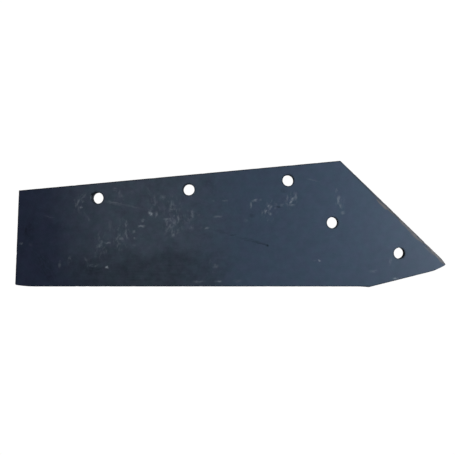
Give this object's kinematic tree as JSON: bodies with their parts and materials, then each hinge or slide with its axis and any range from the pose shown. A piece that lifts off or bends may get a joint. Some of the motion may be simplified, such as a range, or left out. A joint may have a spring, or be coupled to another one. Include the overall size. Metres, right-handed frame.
{
  "type": "plough share",
  "caption": "flat steel plough share with a pointed nose, a bevelled cutting edge and countersunk holes for nibbed plough bolts",
  "frame": {"origin": "the middle of the footprint, on the soil face that the share lies on", "axes": "X runs along the cutting edge from the heel to the nose, Y runs from the cutting edge up to the crest, and Z runs from the soil face to the frog face"},
  "size_m": [0.5, 0.147, 0.011],
  "materials": {
    "share_steel": "satin"
  },
  "bodies": {
    "root": {"plough_share": "share_steel"}
  },
  "joints": []
}
